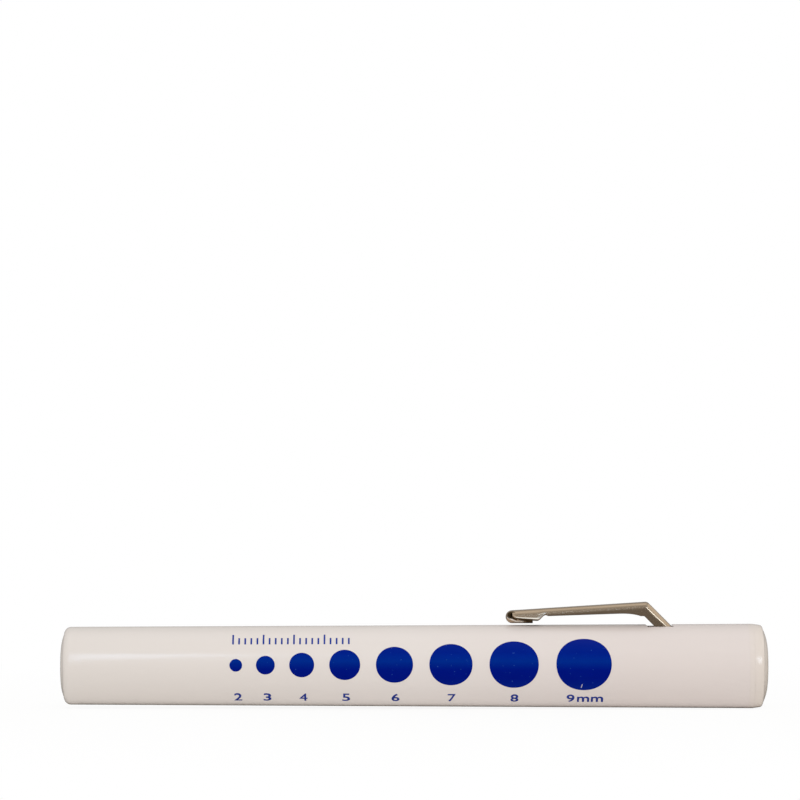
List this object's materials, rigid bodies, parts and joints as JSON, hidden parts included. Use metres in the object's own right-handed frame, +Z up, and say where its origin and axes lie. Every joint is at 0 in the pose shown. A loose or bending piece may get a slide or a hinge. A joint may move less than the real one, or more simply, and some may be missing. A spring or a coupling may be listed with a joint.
{
  "type": "penlight",
  "caption": "Slim tapered pocket penlight with a sprung metal clip that switches the lamp, a push-in tail plug and a printed pupil gauge.",
  "frame": {"origin": "under the middle of the length, on the plane that the barrel's widest line rests on", "axes": "+X along the barrel from the lamp to the tail, +Z up through the pocket clip, the gauge faces -Y"},
  "size_m": [0.1164, 0.0138, 0.0175],
  "materials": {
    "barrel_plastic": "gloss",
    "plug_plastic": "gloss",
    "clip_nickel": "polished",
    "strip_brass": "satin",
    "cup_steel": "satin",
    "spring_steel": "satin",
    "holder_plastic": "matte",
    "lamp_clear": "gloss",
    "lead_tin": "satin",
    "chip_phosphor": "matte",
    "plate_brass": "satin",
    "washer_fibre": "matte",
    "gauge_ink": "gloss",
    "cell_steel": "satin",
    "cell_film": "gloss",
    "cell_filling": "matte",
    "cell_brass": "satin",
    "cell_nylon": "matte",
    "cell_cap": "satin"
  },
  "bodies": {
    "barrel": {"barrel": "barrel_plastic", "return_strip": "strip_brass", "lamp_holder": "holder_plastic", "lamp_lens": "lamp_clear", "lamp_anode_lead": "lead_tin", "lamp_cathode_lead": "lead_tin", "lamp_chip": "chip_phosphor", "anode_plate": "plate_brass", "insulating_washer": "washer_fibre", "gauge_dots": "gauge_ink", "gauge_scale": "gauge_ink", "front_cell_can": "cell_steel", "front_cell_jacket": "cell_film", "front_cell_filling": "cell_filling", "front_cell_collector": "cell_brass", "front_cell_seal": "cell_nylon", "front_cell_end_cap": "cell_cap", "rear_cell_can": "cell_steel", "rear_cell_jacket": "cell_film", "rear_cell_filling": "cell_filling", "rear_cell_collector": "cell_brass", "rear_cell_seal": "cell_nylon", "rear_cell_end_cap": "cell_cap"},
    "clip": {"pocket_clip": "clip_nickel"},
    "plug": {"tail_plug": "plug_plastic", "tail_spring": "spring_steel", "contact_cup": "cup_steel"}
  },
  "joints": [
    {"name": "clip_press", "type": "hinge", "parent": "barrel", "child": "clip", "pos_m": [0.01615, 0, 0.01506], "axis": [0, 1, 0], "range_deg": [0, 1.7], "stiffness_Nm_per_rad": 2.5, "springref_deg": -1.15},
    {"name": "plug_pull", "type": "slide", "parent": "barrel", "child": "plug", "axis": [1, 0, 0], "range_m": [0, 0.0055]}
  ]
}
